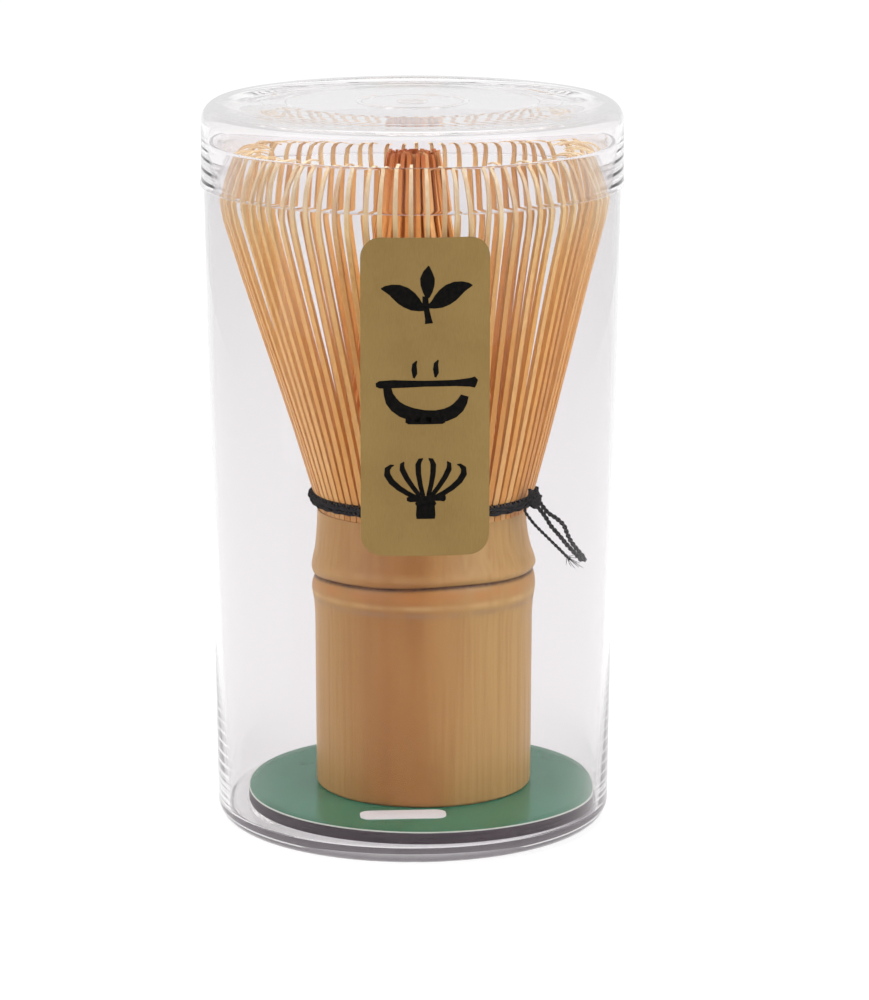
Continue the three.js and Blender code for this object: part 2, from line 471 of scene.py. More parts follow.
class Graph:
    """The node graph of one material, or of the surround."""

    def __init__(self, owner: Material | bpy.types.World) -> None:
        """Starts an empty graph.

        Args:
            owner: What the graph is for.
        """
        owner.use_nodes = True
        self.owner = owner
        self.tree = owner.node_tree
        self.tree.nodes.clear()

    def add(self, kind: str, inputs: dict[str | int, object] | None = None, **settings: object) -> bpy.types.Node:
        """Adds a node.

        Args:
            kind: The node's type, without its common start.
            inputs: What goes into its sockets, as links or values.
            **settings: The node's own settings.

        Returns:
            The node.
        """
        node = self.tree.nodes.new("ShaderNode" + kind)
        for name, value in settings.items():
            setattr(node, name, value)
        for key, value in (inputs or {}).items():
            if isinstance(value, Socket):
                self.tree.links.new(value, node.inputs[key])
            else:
                node.inputs[key].default_value = value
        return node

    def place(self, scale: Triple = (1, 1, 1), centre: Vector | None = None) -> Socket:
        """Gives the place on the object, stretched for a pattern.

        Args:
            scale: How much the pattern is squeezed along each axis.
            centre: The point that becomes the origin.

        Returns:
            The place as a vector.
        """
        coordinates = self.add("TexCoord").outputs["Object"]
        if centre is not None:
            coordinates = self.add("VectorMath", {0: coordinates, 1: centre}, operation="SUBTRACT").outputs[0]
        return self.add("Mapping", {"Vector": coordinates, "Scale": scale}).outputs[0]

    def noise(self, vector: Socket, scale: float, detail: float = 3.0, roughness: float = 0.5) -> Socket:
        """Adds a noise pattern, with its fineness, its number of finer layers and how strong those are."""
        inputs = {"Vector": vector, "Scale": scale, "Detail": detail, "Roughness": roughness}
        return self.add("TexNoise", inputs).outputs[0]

    def ramp(self, value: Socket, stops: Sequence[tuple[float, Colour]]) -> Socket:
        """Adds a colour ramp.

        Args:
            value: Where on the ramp.
            stops: Position and colour of each stop.

        Returns:
            The colour.
        """
        node = self.add("ValToRGB", {0: value})
        elements = node.color_ramp.elements
        while len(elements) < len(stops):
            elements.new(0.5)
        for element, (position, colour) in zip(elements, stops):
            element.position = position
            element.color = colour
        return node.outputs[0]

    def mix(self, share: Socket | float, first: Socket, second: Socket | Colour) -> Socket:
        """Mixes two colours, with a share of the second."""
        return self.add("Mix", {0: share, 6: first, 7: second}, data_type="RGBA").outputs[2]

    def sum(self, way: str, first: Socket, second: Socket | float = 0.0) -> Socket:
        """Works out a number from one or two others, in the way that is named."""
        return self.add("Math", {0: first, 1: second}, operation=way).outputs[0]

    def spread(self, value: Socket, source: Pair, target: Pair = (0, 1)) -> Socket:
        """Maps one range of numbers smoothly onto another, and keeps inside it."""
        inputs = {0: value, 1: source[0], 2: source[1], 3: target[0], 4: target[1]}
        return self.add("MapRange", inputs, interpolation_type="SMOOTHSTEP").outputs[0]

    def band(self, value: Socket, middle: float, reach: float) -> Socket:
        """Marks the numbers near one number: 1 at that number, falling to 0 at the reach."""
        away = self.sum("ABSOLUTE", self.sum("SUBTRACT", value, middle))
        return self.spread(away, (0.0, reach), (1, 0))

    def height(self) -> Socket:
        """Gives the height above the foot of the case, in metres."""
        return self.add("SeparateXYZ", {0: self.add("TexCoord").outputs["Object"]}).outputs["Z"]

    def bump(self, height: Socket, strength: float, distance: float) -> Socket:
        """Adds relief from a pattern of 0 to 1, of which 1 stands the distance high."""
        return self.add("Bump", {"Height": height, "Strength": strength, "Distance": distance}).outputs[0]

    def surface(self, colour: Socket, roughness: Socket | float, **others: object) -> Material:
        """Ends the graph in the common shader.

        Args:
            colour: The colour.
            roughness: The roughness.
            **others: What goes into its other sockets, named with _ in place of each space.

        Returns:
            The material.
        """
        inputs = {"Base Color": colour, "Roughness": roughness}
        inputs |= {name.replace("_", " "): value for name, value in others.items()}
        return self.done(self.add("BsdfPrincipled", inputs).outputs[0])

    def done(self, shader: Socket) -> Material:
        """Ends the graph in a shader, and gives what it is for."""
        self.add("OutputMaterial", {"Surface": shader})
        return self.owner


@dataclass(frozen=True)
class ClearPlastic:
    """Clear polystyrene with the faint ripple of a moulding. Light passes it on its way to what is inside."""

    name: str
    tint: Colour
    index: float = 1.38  # of refraction
    gleam: Colour = (0.3, 0.3, 0.3, 1)
    shade: Colour = (0.97, 0.97, 0.97, 1)

    def material(self) -> Material:
        """Mixes the plastic.

        Returns:
            The material.
        """
        graph = Graph(bpy.data.materials.new(self.name))
        ripple = graph.noise(graph.place((1, 1, 0.4)), 70, 1.5)
        inputs = {
            "Base Color": self.tint,
            "Specular Tint": self.gleam,
            "Roughness": 0.015,
            "IOR": self.index,
            "Transmission Weight": 1.0,
            "Normal": graph.bump(ripple, 0.02, 0.0006),
        }
        plastic = graph.add("BsdfPrincipled", inputs)
        empty = graph.add("BsdfTransparent", {"Color": self.shade})
        shadow = graph.add("LightPath").outputs["Is Shadow Ray"]
        return graph.done(graph.add("MixShader", {0: shadow, 1: plastic.outputs[0], 2: empty.outputs[0]}).outputs[0])


@dataclass(frozen=True)
class GoldFoil:
    """Satin antique-gold foil with a fine rolled grain."""

    name: str = "gold_foil"

    def material(self) -> Material:
        """Rolls the foil.

        Returns:
            The material.
        """
        graph = Graph(bpy.data.materials.new(self.name))
        cloud = graph.noise(graph.place((1, 1, 1)), 90, 4)
        grain = graph.noise(graph.place((9000, 9000, 900)), 1.0, 2)
        colour = graph.ramp(cloud, [(0.3, (0.225, 0.137, 0.039, 1)), (0.7, (0.27, 0.173, 0.054, 1))])
        rolled = graph.ramp(grain, [(0.3, (0.17, 0.10, 0.03, 1)), (0.75, (0.36, 0.25, 0.085, 1))])
        colour = graph.mix(0.18, colour, rolled)
        roughness = graph.spread(grain, (0.2, 0.8), (0.36, 0.5))
        return graph.surface(colour, roughness, Metallic=0.55, Normal=graph.bump(grain, 0.12, 0.00002))


@dataclass(frozen=True)
class Ink:
    """Black screen-printing ink, slightly uneven."""

    name: str = "black_ink"

    def material(self) -> Material:
        """Mixes the ink.

        Returns:
            The material.
        """
        graph = Graph(bpy.data.materials.new(self.name))
        mottle = graph.noise(graph.place(), 1800, 3)
        colour = graph.ramp(mottle, [(0.3, (0.003, 0.003, 0.003, 1)), (0.8, (0.009, 0.008, 0.007, 1))])
        roughness = graph.spread(mottle, (0.3, 0.7), (0.5, 0.62))
        relief = graph.bump(mottle, 0.15, 0.00001)
        return graph.surface(colour, roughness, Specular_IOR_Level=0.02, Normal=relief)


@dataclass(frozen=True)
class GreenPaper:
    """Glossy green paper that shows its white core at the cut edge."""

    centre: Vector
    radius: float
    name: str = "glossy_green_paper"

    def material(self) -> Material:
        """Prints and varnishes the paper.

        Returns:
            The material.
        """
        graph = Graph(bpy.data.materials.new(self.name))
        fibre = graph.noise(graph.place(), 1400, 4, 0.6)
        blotch = graph.noise(graph.place(), 120, 3)
        green = graph.ramp(blotch, [(0.25, (0.024, 0.150, 0.080, 1)), (0.75, (0.036, 0.190, 0.108, 1))])
        green = graph.mix(graph.spread(fibre, (0.6, 0.8), (0, 0.18)), green, (0.16, 0.36, 0.22, 1))
        flat = graph.place((1, 1, 0), self.centre)
        out = graph.add("VectorMath", {0: flat}, operation="LENGTH").outputs["Value"]
        edge = graph.spread(out, (self.radius - 0.00025, self.radius - 0.00012))
        colour = graph.mix(edge, green, (0.62, 0.66, 0.60, 1))
        roughness = graph.spread(blotch, (0.3, 0.7), (0.16, 0.24))
        return graph.surface(colour, roughness, Specular_IOR_Level=0.42, Normal=graph.bump(blotch, 0.04, 0.0002))


@dataclass(frozen=True)
class GreyBoard:
    """Dark grey board, with its pressed layers at the cut edge and a paler lining underneath."""

    foot: float
    name: str = "grey_board"

    def material(self) -> Material:
        """Presses the board.

        Returns:
            The material.
        """
        graph = Graph(bpy.data.materials.new(self.name))
        layers = graph.noise(graph.place((120, 120, 5200)), 1.0, 3, 0.6)
        fibre = graph.noise(graph.place(), 1500, 4)
        colour = graph.ramp(layers, [(0.3, (0.022, 0.015, 0.020, 1)), (0.7, (0.080, 0.058, 0.072, 1))])
        colour = graph.mix(graph.spread(fibre, (0.55, 0.8), (0, 0.3)), colour, (0.2, 0.17, 0.18, 1))
        lining = graph.spread(graph.height(), (self.foot + 0.00005, self.foot + 0.00009), (1, 0))
        colour = graph.mix(lining, colour, (0.42, 0.38, 0.41, 1))
        return graph.surface(colour, 0.8, Normal=graph.bump(layers, 0.4, 0.00008))


@dataclass(frozen=True)
class WhiteSheet:
    """Smooth white finish with a faint fibre."""

    name: str = "white_sheet"

    def material(self) -> Material:
        """Mixes the finish.

        Returns:
            The material.
        """
        graph = Graph(bpy.data.materials.new(self.name))
        fibre = graph.noise(graph.place(), 1600, 4, 0.6)
        colour = graph.ramp(fibre, [(0.3, (0.86, 0.86, 0.88, 1)), (0.8, (0.94, 0.94, 0.96, 1))])
        return graph.surface(colour, 0.35, Normal=graph.bump(fibre, 0.1, 0.00003))


@dataclass(frozen=True)
class BambooSkin:
    """The polished outside of the culm: long fibres, a faint mottle, a painted sheen that makes it lighter towards its
    left and right edges, and at the node an orange ridge with a pale edge, a greyer, darker band below it and a dark
    line in the groove. The node's colours follow the "along" attribute."""

    centre: Vector
    groove: float
    ridge: float
    face: float = 0.0045  # how far left of the axis the painted sheen is weakest, so that the front is painted darkest there
    name: str = "bamboo_skin"

    def material(self) -> Material:
        """Cures and polishes the skin.

        Returns:
            The material.
        """
        graph = Graph(bpy.data.materials.new(self.name))
        streaks = graph.noise(graph.place((1600, 1600, 26)), 1.0, 5, 0.6)
        broad = graph.noise(graph.place((170, 170, 22)), 1.0, 3)
        flecks = graph.noise(graph.place((2600, 2600, 300)), 1.0, 3, 0.65)
        wide = graph.noise(graph.place((42, 42, 6), self.centre), 1.0, 1.5)
        tone = graph.ramp(
            broad,
            [(0.28, (0.33, 0.133, 0.030, 1)), (0.5, (0.38, 0.163, 0.040, 1)), (0.74, (0.445, 0.215, 0.060, 1))],
        )
        # painted sheen: the skin is painted lighter towards its left and right edges as seen from the front, and
        # darkest on an upright band a little left of the axis
        across = graph.add("SeparateXYZ", {0: graph.place((1, 1, 1), self.centre)}).outputs["X"]
        away = graph.sum("ABSOLUTE", graph.sum("ADD", across, self.face))
        away = graph.spread(away, (0.003, 0.0135), (0, 0.85))
        side = graph.sum("MULTIPLY", away, graph.spread(wide, (0.35, 0.65), (0.75, 1)))
        tone = graph.mix(side, tone, (0.53, 0.325, 0.112, 1))
        tone = graph.mix(graph.spread(streaks, (0.35, 0.75), (0.0, 0.4)), tone, (0.33, 0.140, 0.036, 1))
        tone = graph.mix(graph.spread(flecks, (0.64, 0.74), (0, 0.3)), tone, (0.22, 0.085, 0.03, 1))
        along = graph.add("Attribute", attribute_name="along").outputs["Fac"]
        patch = graph.spread(graph.noise(graph.place((300, 300, 120)), 1.0, 3), (0.35, 0.62), (0.35, 1.0))
        # node bands: light tan above the groove, orange on the ridge, a pale band at its lower edge and a greyer,
        # darker band below that
        bands = (
            (self.ridge + 0.0009, 0.0013, 0.6, (0.50, 0.185, 0.045, 1)),
            (self.ridge - 0.0003, 0.0006, 0.55, (0.66, 0.42, 0.17, 1)),
            (self.ridge - 0.0013, 0.0008, 0.5, (0.30, 0.19, 0.12, 1)),
            (self.groove + 0.0024, 0.0016, 0.4, (0.56, 0.32, 0.12, 1)),
        )
        for height, reach, strength, colour in bands:
            share = graph.sum("MULTIPLY", graph.band(along, height, reach), strength)
            tone = graph.mix(graph.sum("MULTIPLY", share, patch), tone, colour)
        wander = graph.noise(graph.place((1500, 1500, 200)), 1.0, 2)
        line = graph.band(along, self.groove, 0.0006)
        line = graph.sum("MULTIPLY", line, graph.spread(wander, (0.3, 0.6), (0.72, 1.0)))
        tone = graph.mix(line, tone, (0.075, 0.024, 0.012, 1))
        relief = graph.bump(graph.sum("SUBTRACT", streaks, line), 0.22, 0.00008)
        roughness = graph.spread(streaks, (0.3, 0.7), (0.34, 0.48))
        return graph.surface(tone, roughness, Specular_IOR_Level=0.35, Normal=relief)


@dataclass(frozen=True)
class SplitBamboo:
    """Shaved bamboo of the tines. Each tine has a tone of its own, and the colour changes with the height."""

    name: str
    heights: Sequence[tuple[float, Colour]]
    foot: float
    top: float

    def material(self) -> Material:
        """Shaves and steams the bamboo.

        Returns:
            The material.
        """
        graph = Graph(bpy.data.materials.new(self.name))
        share = graph.add("MapRange", {0: graph.height(), 1: self.foot, 2: self.top}).outputs[0]
        colour = graph.ramp(share, self.heights)
        tone = graph.add("Attribute", attribute_name="tone").outputs["Fac"]
        colour = graph.mix(graph.spread(tone, (0.0, 0.5), (0.40, 0)), colour, (0.52, 0.19, 0.045, 1))
        colour = graph.mix(graph.spread(tone, (0.5, 1.0), (0, 0.4)), colour, (0.95, 0.66, 0.30, 1))
        fibres = graph.noise(graph.place((2600, 2600, 60)), 1.0, 4, 0.6)
        colour = graph.mix(graph.spread(fibres, (0.35, 0.75), (0.32, 0)), colour, (0.50, 0.19, 0.05, 1))
        return graph.surface(colour, 0.46, Specular_IOR_Level=0.3, Normal=graph.bump(fibres, 0.25, 0.00006))


@dataclass(frozen=True)
class CottonThread:
    """Black cotton thread with a little fluff on it."""

    name: str = "black_cotton"

    def material(self) -> Material:
        """Dyes the thread.

        Returns:
            The material.
        """
        graph = Graph(bpy.data.materials.new(self.name))
        fluff = graph.noise(graph.place(), 5200, 4, 0.7)
        colour = graph.ramp(fluff, [(0.35, (0.003, 0.002, 0.003, 1)), (0.8, (0.016, 0.011, 0.014, 1))])
        sheen = {"Sheen_Weight": 0.06, "Sheen_Roughness": 0.5}
        return graph.surface(colour, 0.85, Specular_IOR_Level=0.1, Normal=graph.bump(fluff, 0.5, 0.00006), **sheen)


@dataclass(frozen=True)
class WhiteTable:
    """A matt white table top that glows a little, as a light table does, so that shadows stay faint."""

    glow: float = 0.74
    name: str = "white_table"

    def material(self) -> Material:
        """Paints the table.

        Returns:
            The material.
        """
        graph = Graph(bpy.data.materials.new(self.name))
        grain = graph.noise(graph.place(), 300, 3)
        colour = graph.ramp(grain, [(0, (0.29, 0.29, 0.29, 1)), (1, (0.32, 0.32, 0.32, 1))])
        glow = {"Emission_Color": (1, 1, 1, 1), "Emission_Strength": self.glow}
        return graph.surface(colour, 0.9, Specular_IOR_Level=0.1, **glow)


def dress(piece: Piece, material: Material, body: Body, slot: Slot | None, *nodes: str) -> None:
    """Gives a piece its finish, sets it on its body and lets it stand for CAD nodes.

    Args:
        piece: The piece.
        material: Its finish.
        body: The body that it moves with.
        slot: The record's slot for its finish, if it has one. Not used.
        *nodes: The CAD nodes that it stands for.
    """
    piece.data.materials.clear()
    piece.data.materials.append(material)
    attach(piece, body.value)
    if nodes:
        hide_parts(*nodes)
    log.info("%s rides on %s, %d faces", piece.name, body.value, len(piece.data.polygons))


# ---------------------------------------------------------------- the case


@dataclass
class StorageCase:
    """The clear case: a tub with a drafted wall and a neck, and a push-on lid."""

    steps: int = 720
    hollow: float = 0.0262  # radius of the flat under the floor
    foot_slope: float = 0.0009
    foot_inner: float = 0.0279
    foot_radius: float = 0.03259
    foot_rounding: float = 0.0034
    draft: float = 0.014
    wall: float = 0.0011
    floor_bottom: float = 0.0017
    floor_top: float = 0.0029
    shoulder: float = 0.1066
    neck_outer: float = 0.03345
    neck_inner: float = 0.0325
    neck_root: float = 0.0012
    neck_slope: float = 0.0012
    corner: float = 0.0012
    edge: float = 0.0003
    roof_middle: float = 0.0014
    mouldings: Sequence[tuple[Pair, Pair, float]] = (
        ((0.0016, 0.0018), (0.0024, 0.0026), 0.0003),
        ((0.0082, 0.0084), (0.0091, 0.0093), 0.0002),
        ((0.0205, 0.0209), (0.0244, 0.0248), 0.0004),
    )  # where each one starts and ends, and its depth
    roof_dip: Triple = (0.0270, 0.0266, 0.0200)
    dip: float = 0.00015
    bead_top: float = 0.0007
    bead_end: float = 0.0011
    rim: float = 0.1138
    lid_radius: float = 0.0345
    lid_wall: float = 0.00087
    lid_roof: float = 0.0011
    lid_top: float = 0.1204
    lid_rounding: float = 0.0032
    bead: float = 0.00018

    def radius_at(self, height: float) -> float:
        """Gives the tub's outside radius at a height."""
        return self.foot_radius + self.draft * height

    def tub(self) -> Piece:
        """Makes the tub.

        Returns:
            The tub's mesh object.
        """
        inside = self.radius_at(self.floor_top) - self.wall
        foot = self.radius_at(0)
        top = self.radius_at(self.shoulder)
        rings = [
            (self.hollow, self.floor_bottom),
            (self.foot_inner - self.foot_slope, self.floor_bottom),
            (self.foot_inner, 0.0),
            (foot, 0.0),
            (self.radius_at(self.shoulder / 2), self.shoulder / 2),
            (top, self.shoulder),
            (self.neck_outer, self.shoulder),
            (self.neck_outer, self.rim),
            (self.neck_inner, self.rim),
            (self.neck_inner, self.shoulder - self.neck_root),
            (top - self.wall, self.shoulder - self.neck_root - self.neck_slope),
            (inside, self.floor_top),
            (inside - self.corner, self.floor_top),
        ]
        roundings = [
            ((foot, 0.0), self.foot_rounding, 10),
            ((self.foot_inner, 0.0), 0.0004, 3),
            ((top, self.shoulder), 0.0002, 3),
            ((self.neck_outer, self.rim), self.edge, 3),
            ((self.neck_inner, self.rim), self.edge, 3),
            ((inside, self.floor_top), self.corner / 2, 4),
        ]
        tub = turn("clear_tub", middle("case_tub"), rings, self.steps, roundings)
        smooth(tub)
        return tub

    def lid(self) -> Piece:
        """Makes the lid, with the two moulded rings under its roof and a bead round its lower edge.

        Returns:
            The lid's mesh object.
        """
        under = self.lid_top - self.lid_roof
        inner = self.lid_radius - self.lid_wall
        outer = self.lid_radius + self.bead
        rings = [(self.roof_middle, under)]
        for (start, start_low), (end_low, end), depth in self.mouldings:
            rings += [(start, under), (start_low, under - depth), (end_low, under - depth), (end, under)]
        dip_start, dip_low, dip_middle = self.roof_dip
        rings += [
            (inner, under),
            (inner, self.shoulder),
            (outer, self.shoulder),
            (outer, self.shoulder + self.bead_top),
            (self.lid_radius, self.shoulder + self.bead_end),
            (self.lid_radius, self.lid_top),
            (dip_start, self.lid_top),
            (dip_low, self.lid_top - self.dip),
            (dip_middle, self.lid_top - self.dip),
        ]
        roundings = [
            ((self.lid_radius, self.lid_top), self.lid_rounding, 10),
            ((inner, under), self.lid_rounding - self.lid_wall, 8),
            ((outer, self.shoulder), 0.0002, 3),
        ]
        lid = turn("clear_lid", middle("case_lid"), rings, self.steps, roundings)
        smooth(lid)
        return lid

    def build(self) -> None:
        """Makes and dresses the tub and the lid."""
        body = ClearPlastic("clear_body", (0.85, 0.835, 0.845, 1)).material()
        dress(self.tub(), body, Body.CASE, Slot.CLEAR, "case_tub")
        top = ClearPlastic("clear_top", (0.955, 0.943, 0.949, 1)).material()
        dress(self.lid(), top, Body.LID, Slot.CLEAR, "case_lid")


# ---------------------------------------------------------------- the label


@dataclass(frozen=True)
class Touch:
    """One touch of the brush: a way forward, a turn, and the width of the ink at its end."""

    length: float
    turn: float
    width: float


@dataclass(frozen=True)
class Stroke:
    """A brush stroke on the flat label, from a start point along some touches."""

    x: float
    z: float
    heading: float  # degrees from the label's right, upwards
    width: float
    touches: Sequence[Touch]


class Motif(Enum):
    """The three printed marks, from the top of the label down."""

    SPRIG = "leaf_sprig_mark"
    BOWL = "tea_bowl_mark"
    WHISK = "whisk_mark"


@dataclass
class Label:
    """The gold label on the front of the tub, with three black marks printed one over the other."""

    case: StorageCase
    rounding: float = 0.0033
    thickness: float = 0.00015
    stand_off: float = 0.00006
    ink: float = 0.00002
    rim: float = 0.00022
    strips: int = 24
    mark_heights: Triple = (0.825, 0.52, 0.21)  # as shares of the label's height

    def box(self) -> tuple[Vector, Vector]:
        """Gives the box that the CAD label fills."""
        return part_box("label")

    def wrap(self, obj: Piece, distance: float, thickness: float) -> None:
        """Cuts a flat sheet into upright strips, wraps it on the tub's wall and gives it a thickness.

        Args:
            obj: The sheet, flat in the XZ plane in front of the tub.
            distance: How far its back is from the tub's wall.
            thickness: Its thickness.
        """
        low, high = self.box()
        pick(obj, lambda place: True)
        for i in range(1, self.strips):
            x = low.x + (high.x - low.x) * i / self.strips
            bpy.ops.mesh.select_all(action="SELECT")
            bpy.ops.mesh.bisect(plane_co=(x, 0, 0), plane_no=(1, 0, 0))
        bpy.ops.object.mode_set(mode="OBJECT")

        def onto_wall(place: Vector) -> Vector:
            """Puts a point of the flat sheet on the wall, at the same distance along it."""
            radius = self.case.radius_at(place.z) + distance
            angle = place.x / radius
            return Vector((radius * math.sin(angle), -radius * math.cos(angle), place.z))

        reshape(obj, onto_wall)
        apply_modifier(obj, "SOLIDIFY", thickness=thickness, offset=1.0)
        smooth(obj, 40)

    def foil(self) -> Piece:
        """Makes the foil with its rounded corners.

        Returns:
            The foil's mesh object.
        """
        low, high = self.box()
        place, size = (0, low.y, (low.z + high.z) / 2), (high.x - low.x, high.z - low.z)
        foil = rounded_sheet("gold_foil_label", place, size, True, self.rounding, self.rim)
        bpy.ops.object.mode_set(mode="OBJECT")
        self.wrap(foil, self.stand_off, self.thickness)
        return foil

    def stroke(self, stroke: Stroke, height: float) -> Piece:
        """Paints one stroke by drawing an edge out into a strip.

        Args:
            stroke: The stroke, with its start point measured from the middle of its mark.
            height: Height of the middle of the mark.

        Returns:
            The flat strip.
        """
        deselect()
        place = Vector((stroke.x, -self.case.foot_radius, height + stroke.z))
        heading = math.radians(stroke.heading)
        bpy.ops.mesh.primitive_plane_add(size=1, location=place)
        obj = bpy.context.active_object
        edit_all()
        bpy.ops.transform.resize(value=(0, stroke.width, 0), center_override=place)
        bpy.ops.mesh.remove_doubles(threshold=1e-6)
        bpy.ops.transform.rotate(value=-math.pi / 2, orient_axis="X", center_override=place)
        bpy.ops.transform.rotate(value=heading, orient_axis="Y", center_override=place)
        width = stroke.width
        for touch in stroke.touches:
            turn_by = math.radians(touch.turn)
            heading += turn_by / 2
            stride = Vector((math.cos(heading), 0, math.sin(heading))) * touch.length
            heading += turn_by / 2
            bpy.ops.mesh.extrude_region_move(TRANSFORM_OT_translate={"value": stride})
            place = place + stride
            bpy.ops.transform.rotate(value=turn_by, orient_axis="Y", center_override=place)
            share = touch.width / width
            bpy.ops.transform.resize(value=(share, 1, share), center_override=place)
            width = touch.width
        bpy.ops.object.mode_set(mode="OBJECT")
        settle(obj)
        return obj

    def strokes(self, motif: Motif) -> list[Stroke]:
        """Gives the strokes of a mark, in metres from its middle.

        Args:
            motif: The mark.

        Returns:
            Its strokes.
        """
        leaf = [(0.9, 12, 1.3), (1.0, 10, 2.3), (1.2, 4, 2.9), (1.2, -4, 3.0), (1.2, -9, 2.5), (1.0, -12, 1.7),
                (0.9, -10, 0.9), (0.6, -4, 0.15)]
        bowl = [(1.1, 10, 1.5), (1.1, 14, 1.9), (1.1, 18, 2.0), (1.3, 16, 2.1), (1.6, 12, 2.1), (1.9, 8, 2.0),
                (1.9, 8, 2.0), (1.6, 12, 2.1), (1.3, 16, 2.1), (1.1, 18, 2.0), (1.1, 14, 1.7), (1.0, 10, 1.3)]
        steam = [(0.7, 30, 0.8), (0.7, 10, 0.9), (0.8, -30, 0.7), (0.7, -30, 0.2)]
        wide = [(1.5, -6, 0.8), (1.6, -8, 0.9), (1.6, -10, 1.0), (1.3, -24, 1.05), (0.9, -44, 0.9), (0.8, -44, 0.5),
                (0.5, -20, 0.15)]
        narrow = [(1.8, -4, 0.75), (1.9, -5, 0.85), (1.5, -10, 0.9), (0.8, -40, 0.7), (0.5, -40, 0.2)]

        def mirrored(touches: list[Triple]) -> list[Triple]:
            """Turns each touch the other way."""
            return [(length, -turn_by, width) for length, turn_by, width in touches]

        drawn: dict[Motif, list[tuple[float, float, float, float, list[Triple]]]] = {
            Motif.SPRIG: [
                (0.5, -4.7, 96, 1.3, [(0.8, 4, 1.0), (1.2, 2, 0.9), (1.2, -6, 1.0), (1.2, -6, 0.9)]),
                (0.3, -2.0, 12, 0.5, leaf),
                (0.1, -2.4, 168, 0.5, mirrored(leaf)),
                (0.25, -0.6, 84, 0.6, [(0.9, 6, 1.5), (1.1, 2, 2.2), (1.1, -2, 2.3), (1.0, -6, 1.5), (1.0, -4, 0.2)]),
            ],
            Motif.BOWL: [
                (-7.9, 1.0, 6, 0.6, [(0.6, 0, 1.2), (2.2, -4, 1.3), (4.9, -2, 0.95), (4.9, 0, 1.0), (2.4, 0, 1.4),
                                    (0.8, 0, 1.8), (0.4, -20, 0.8)]),
                (-6.1, 0.6, -84, 1.3, bowl),
                (-3.2, -4.6, -3, 0.7, [(0.5, 0, 1.2), (2.6, 3, 1.1), (2.7, 3, 1.2), (0.5, 0, 0.8)]),
                (-1.9, 2.2, 62, 0.3, steam),
                (1.5, 2.3, 62, 0.3, steam),
            ],
            Motif.WHISK: [
                (0.0, -4.7, 90, 2.9, [(0.6, 0, 3.1), (1.5, 0, 2.9), (0.4, 0, 3.4), (0.4, 0, 2.9)]),
                (-3.0, -1.5, 3, 0.5, [(0.5, 0, 1.0), (2.4, -2, 0.85), (2.4, 0, 0.9), (0.6, 0, 1.2), (0.3, 0, 0.6)]),
                (-1.5, -1.2, 158, 0.7, wide),
                (-0.9, -1.0, 130, 0.7, narrow),
                (-0.4, -1.0, 106, 0.7, narrow),
                (0.4, -1.0, 74, 0.7, mirrored(narrow)),
                (0.9, -1.0, 50, 0.7, mirrored(narrow)),
                (1.5, -1.2, 22, 0.7, mirrored(wide)),
            ],
        }
        return [
            Stroke(x * MM, z * MM, heading, width * MM, [Touch(a * MM, b, c * MM) for a, b, c in touches])
            for x, z, heading, width, touches in drawn[motif]
        ]

    def mark(self, motif: Motif, height: float) -> Piece:
        """Prints one mark.

        Args:
            motif: The mark.
            height: Height of its middle.

        Returns:
            The mark's mesh object.
        """
        mark = join(motif.value, [self.stroke(stroke, height) for stroke in self.strokes(motif)])
        edit_all()
        face_out()
        if mark.data.polygons[0].normal.y > 0:
            mark.data.flip_normals()
        self.wrap(mark, self.stand_off + self.thickness + self.ink / 2, self.ink)
        return mark

    def build(self) -> None:
        """Makes and dresses the foil and its marks."""
        dress(self.foil(), GoldFoil().material(), Body.CASE, Slot.GOLD, "label")
        ink = Ink().material()
        low, high = self.box()
        for share, motif in zip(self.mark_heights, Motif):
            dress(self.mark(motif, low.z + (high.z - low.z) * share), ink, Body.CASE, None)


# ---------------------------------------------------------------- the card


@dataclass
class FloorCard:
    """The round card that lies in the tub: dark grey board with green paper glued on, and a white tab on it."""

    steps: int = 160
    edge: float = 0.002
    tab_size: Pair = (0.0140, 0.0046)
    tab_place: Pair = (-0.0047, -0.0212)  # from the whisk's axis
    tab_rounding: float = 0.0016
    tab_rim: float = 0.0003
    tab_thickness: float = 0.00012

    def disc(self, name: str, node: str, rounding: float) -> Piece:
        """Makes one layer of the card.

        Args:
            name: Name of the layer.
            node: The CAD node whose place it takes.
            rounding: Rounding of its edges.

        Returns:
            The layer's mesh object.
        """
        low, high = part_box(node)
        radius = (high.x - low.x) / 2
        inner = radius - self.edge
        rings = [(inner, low.z), (radius, low.z), (radius, high.z), (inner, high.z)]
        disc = turn(name, middle(node), rings, self.steps, [((radius, z), rounding, 2) for z in (low.z, high.z)])
        smooth(disc)
        return disc

    def tab(self) -> Piece:
        """Makes the thin white rounded sheet that lies on the green paper in front of the handle.

        Returns:
            The tab's mesh object.
        """
        axis = middle("bamboo_culm")
        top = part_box("card_facing")[1].z
        place = Vector((axis.x + self.tab_place[0], axis.y + self.tab_place[1], top))
        tab = rounded_sheet("white_tab", place, self.tab_size, False, self.tab_rounding, self.tab_rim)
        bpy.ops.transform.translate(value=(0, 0, self.tab_thickness / 2))
        bpy.ops.object.mode_set(mode="OBJECT")
        apply_modifier(tab, "SOLIDIFY", thickness=self.tab_thickness, offset=1.0)
        smooth(tab, 40)
        return tab

    def build(self) -> None:
        """Makes and dresses both layers and the tab."""
        board = self.disc("grey_board_disc", "card_board", 0.00012)
        dress(board, GreyBoard(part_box("card_board")[0].z).material(), Body.CARD, Slot.BOARD, "card_board")
        low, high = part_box("card_facing")
        green = GreenPaper(middle("card_facing"), (high.x - low.x) / 2).material()
        paper = self.disc("green_paper_disc", "card_facing", 0.00006)
        dress(paper, green, Body.CARD, Slot.GREEN, "card_facing")
        dress(self.tab(), WhiteSheet().material(), Body.CARD, None)


# ---------------------------------------------------------------- the whisk


